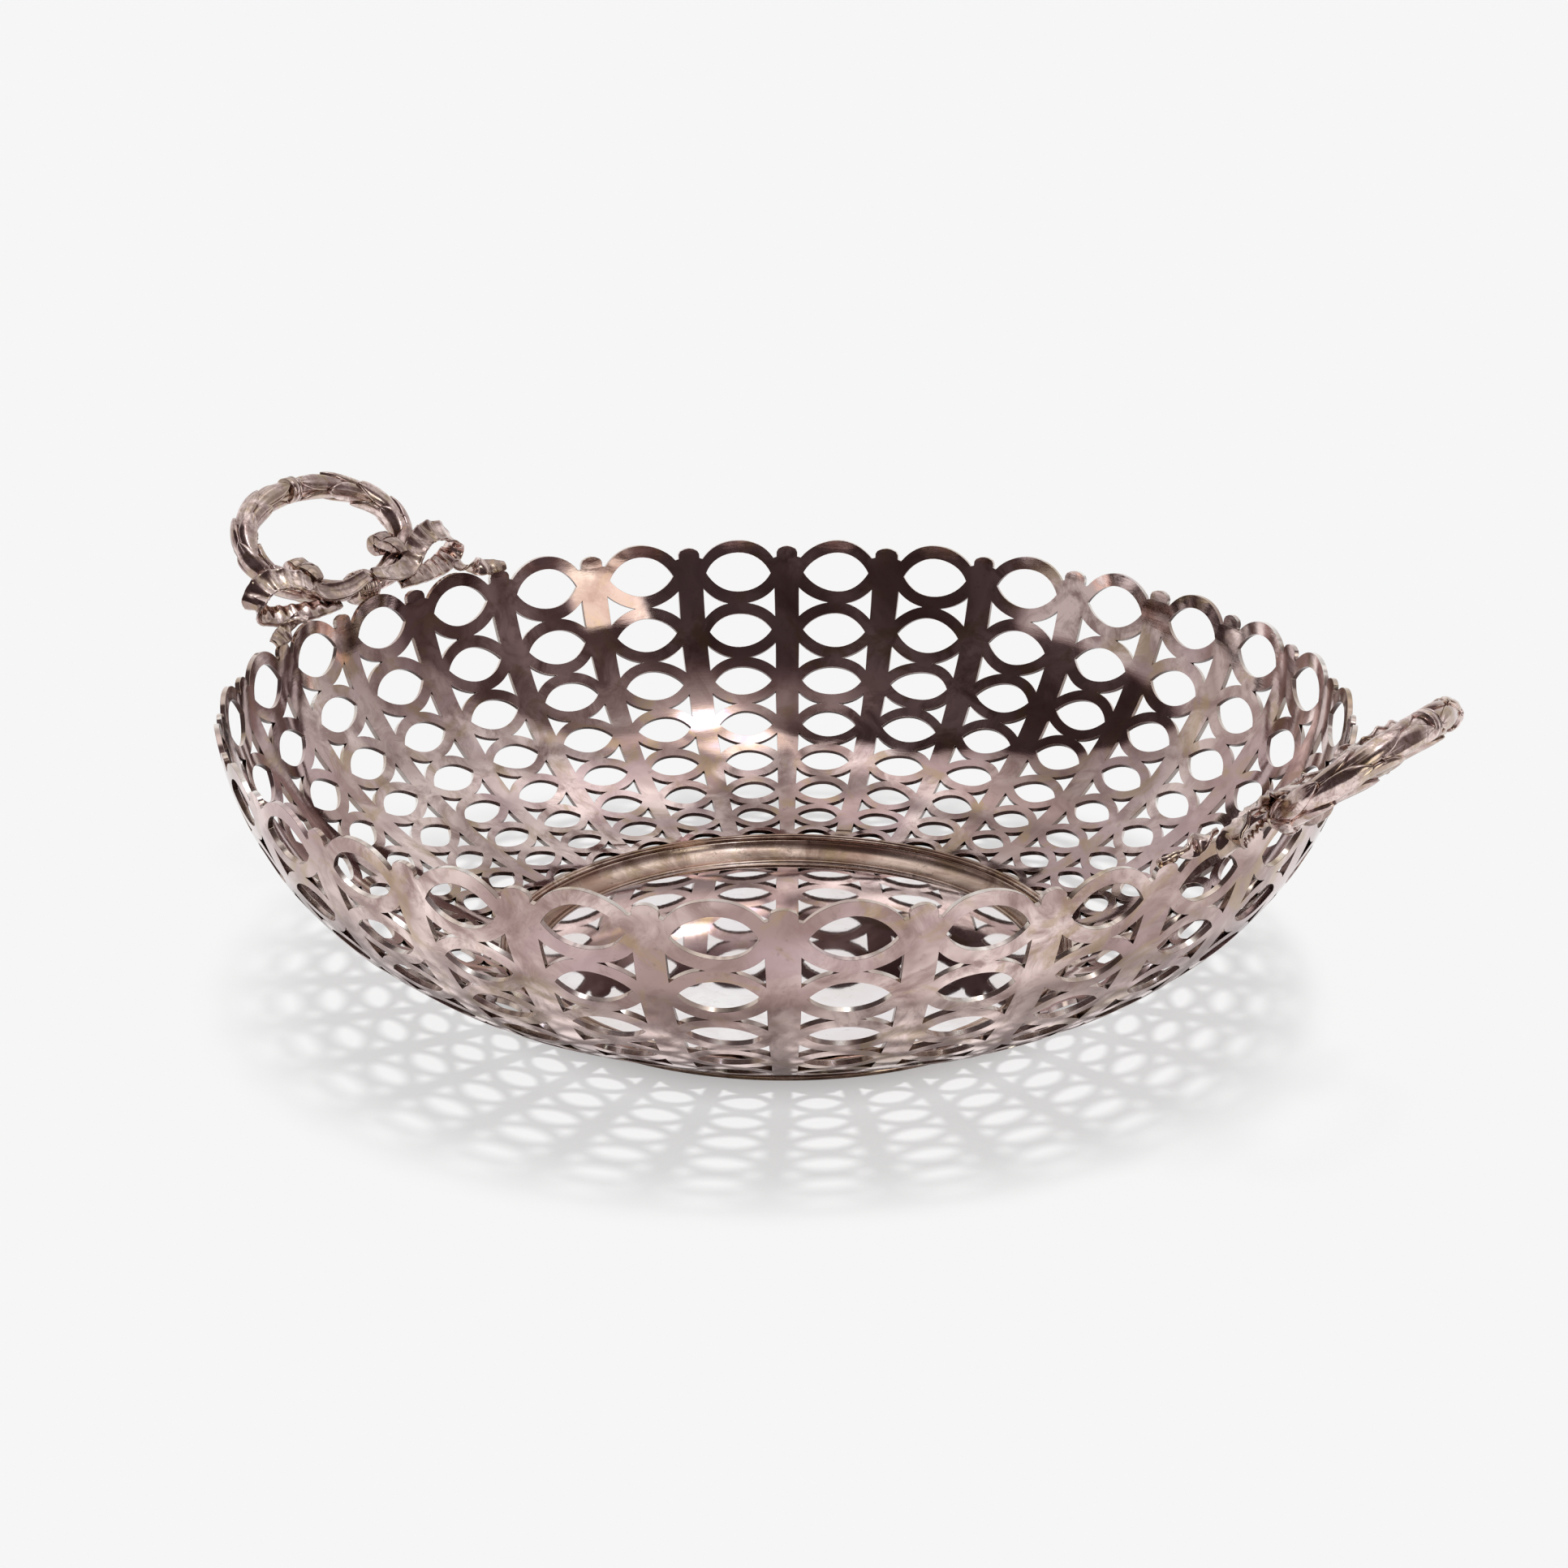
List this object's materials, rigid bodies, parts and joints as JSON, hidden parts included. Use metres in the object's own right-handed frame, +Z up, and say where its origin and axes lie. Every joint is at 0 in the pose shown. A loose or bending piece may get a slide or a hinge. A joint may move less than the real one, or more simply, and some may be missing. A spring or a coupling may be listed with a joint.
{
  "type": "two-handled basket",
  "caption": "Round pierced silver basket: bars and pointed rings, a plain dished base on a foot ring, and a laurel wreath handle tied with a ribbon bow on each side.",
  "frame": {"origin": "centre of the foot ring's underside, on the surface the basket stands on", "axes": "+Z up, +X towards one wreath handle and -X towards the other"},
  "size_m": [0.323, 0.26, 0.0951],
  "materials": {
    "wall_silver": "satin silver with a warm rosy tarnish",
    "dish_silver": "mirror-polished silver, lightly tarnished",
    "base_silver": "polished silver with golden brown tarnish in the reeds",
    "wreath_silver": "cast silver, bright on the leaves and dark in the grooves",
    "ribbon_silver": "cast silver, dark between the flutes"
  },
  "bodies": {
    "root": {"pierced_wall": "wall_silver", "dish": "dish_silver", "reeded_collar": "base_silver", "foot_ring": "base_silver", "right_laurel_a": "wreath_silver", "right_laurel_b": "wreath_silver", "right_apex_band": "wreath_silver", "right_knot": "ribbon_silver", "right_bow_loop_a": "ribbon_silver", "right_bow_loop_b": "ribbon_silver", "right_bow_curl_a": "ribbon_silver", "right_bow_curl_b": "ribbon_silver", "right_ribbon_tail_a": "ribbon_silver", "right_ribbon_tail_b": "ribbon_silver", "left_laurel_a": "wreath_silver", "left_laurel_b": "wreath_silver", "left_apex_band": "wreath_silver", "left_knot": "ribbon_silver", "left_bow_loop_a": "ribbon_silver", "left_bow_loop_b": "ribbon_silver", "left_bow_curl_a": "ribbon_silver", "left_bow_curl_b": "ribbon_silver", "left_ribbon_tail_a": "ribbon_silver", "left_ribbon_tail_b": "ribbon_silver"}
  },
  "joints": []
}
